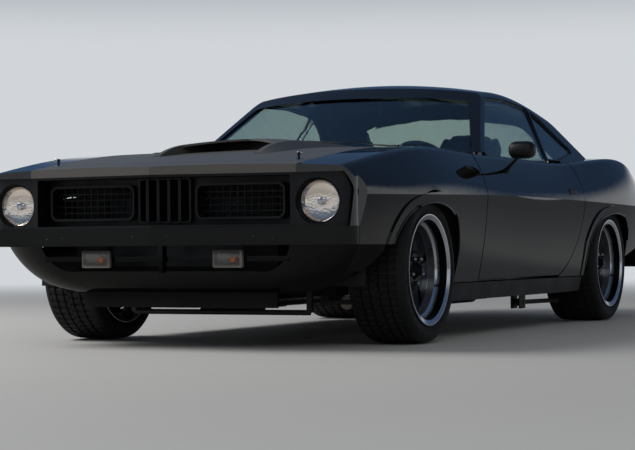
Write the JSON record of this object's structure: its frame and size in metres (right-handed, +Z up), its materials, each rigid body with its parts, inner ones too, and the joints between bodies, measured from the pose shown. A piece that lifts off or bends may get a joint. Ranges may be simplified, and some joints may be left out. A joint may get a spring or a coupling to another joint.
{
  "type": "muscle car",
  "caption": "Low two-door muscle car with a long hood and scoop, wide wheels in flared arches, opening doors, trunk lid and lift-off hood, hollow cabin and steered front wheels.",
  "frame": {"origin": "centre of the bounding box on the ground plane", "axes": "+X to the car's left, +Y to its tail, +Z up; the nose points to -Y"},
  "size_m": [2.13, 4.742, 1.2868],
  "materials": {
    "gloss_paint": "gloss clear-coated near-black charcoal",
    "satin_paint": "satin warm charcoal",
    "black_trim": "semi-matt black",
    "interior": "matt grained black",
    "seat_leather": "soft black",
    "window": "clear, slightly tinted",
    "lamp_glass": "clear lens",
    "amber_lens": "clear lens over amber",
    "red_lens": "red lens",
    "tyre": "matt rubber",
    "wheel_metal": "machined and satin grey",
    "chassis_steel": "dull painted steel",
    "underbody": "matt black undercoat",
    "block_metal": "cast, painted",
    "exhaust_steel": "dull stainless",
    "radiator_metal": "dull aluminium"
  },
  "bodies": {
    "body": {"cowl": "gloss_paint", "dashboard": "interior", "engine": "block_metal", "exhaust": "exhaust_steel", "floor_pan": "underbody", "front_bumper": "gloss_paint", "front_fender_left": "gloss_paint", "front_fender_right": "gloss_paint", "front_frame": "underbody", "front_liners": "underbody", "front_seats": "seat_leather", "front_suspension": "chassis_steel", "front_valance": "gloss_paint", "fuel_tank": "chassis_steel", "grille": "black_trim", "header_panel": "satin_paint", "headlamps": "lamp_glass", "park_lamps": "amber_lens", "quarter_left": "gloss_paint", "quarter_right": "gloss_paint", "radiator": "radiator_metal", "rear_axle": "chassis_steel", "rear_bumper": "gloss_paint", "rear_deck": "gloss_paint", "rear_glass": "window", "rear_seat": "seat_leather", "rear_valance": "black_trim", "roof": "gloss_paint", "sills": "black_trim", "steering_wheel": "interior", "tail_lamps": "red_lens", "tail_panel": "black_trim", "windshield": "window"},
    "hood": {"hood": "satin_paint"},
    "trunk_lid": {"trunk_lid": "gloss_paint"},
    "door_left": {"door_left": "gloss_paint", "door_glass_left": "window", "mirror_left": "black_trim"},
    "door_right": {"door_right": "gloss_paint", "door_glass_right": "window", "mirror_right": "black_trim"},
    "knuckle_left": {"knuckle_left": "chassis_steel"},
    "knuckle_right": {"knuckle_right": "chassis_steel"},
    "wheel_front_left": {"wheel_front_left": "wheel_metal", "tyre_front_left": "tyre"},
    "wheel_front_right": {"wheel_front_right": "wheel_metal", "tyre_front_right": "tyre"},
    "wheel_rear_left": {"wheel_rear_left": "wheel_metal", "tyre_rear_left": "tyre"},
    "wheel_rear_right": {"wheel_rear_right": "wheel_metal", "tyre_rear_right": "tyre"}
  },
  "joints": [
    {"name": "steer_left", "type": "hinge", "parent": "body", "child": "knuckle_left", "pos_m": [0.772, -1.471, 0.325], "axis": [0, 0, 1], "range_deg": [-25, 25]},
    {"name": "steer_right", "type": "hinge", "parent": "body", "child": "knuckle_right", "pos_m": [-0.772, -1.471, 0.325], "axis": [0, 0, 1], "range_deg": [-25, 25]},
    {"name": "roll_front_left", "type": "hinge", "parent": "knuckle_left", "child": "wheel_front_left", "pos_m": [0.772, -1.471, 0.325], "axis": [1, 0, 0], "continuous": true},
    {"name": "roll_front_right", "type": "hinge", "parent": "knuckle_right", "child": "wheel_front_right", "pos_m": [-0.772, -1.471, 0.325], "axis": [1, 0, 0], "continuous": true},
    {"name": "roll_rear_left", "type": "hinge", "parent": "body", "child": "wheel_rear_left", "pos_m": [0.762, 1.272, 0.325], "axis": [1, 0, 0], "continuous": true},
    {"name": "roll_rear_right", "type": "hinge", "parent": "body", "child": "wheel_rear_right", "pos_m": [-0.762, 1.272, 0.325], "axis": [1, 0, 0], "continuous": true},
    {"name": "door_left_hinge", "type": "hinge", "parent": "body", "child": "door_left", "pos_m": [0.88, -0.7, 0.5625], "axis": [0, 0, -1], "range_deg": [0, 65]},
    {"name": "door_right_hinge", "type": "hinge", "parent": "body", "child": "door_right", "pos_m": [-0.88, -0.7, 0.5625], "axis": [0, 0, 1], "range_deg": [0, 65]},
    {"name": "trunk_lid_hinge", "type": "hinge", "parent": "body", "child": "trunk_lid", "pos_m": [0, 1.5835, 0.9329], "axis": [1, 0, 0], "range_deg": [0, 65]},
    {"name": "hood_lift", "type": "slide", "parent": "body", "child": "hood", "axis": [0, 0, 1], "range_m": [0, 0.25]}
  ],
  "couplings": [
    {"joint": "steer_right", "follows": "steer_left", "ratio": 1}
  ]
}
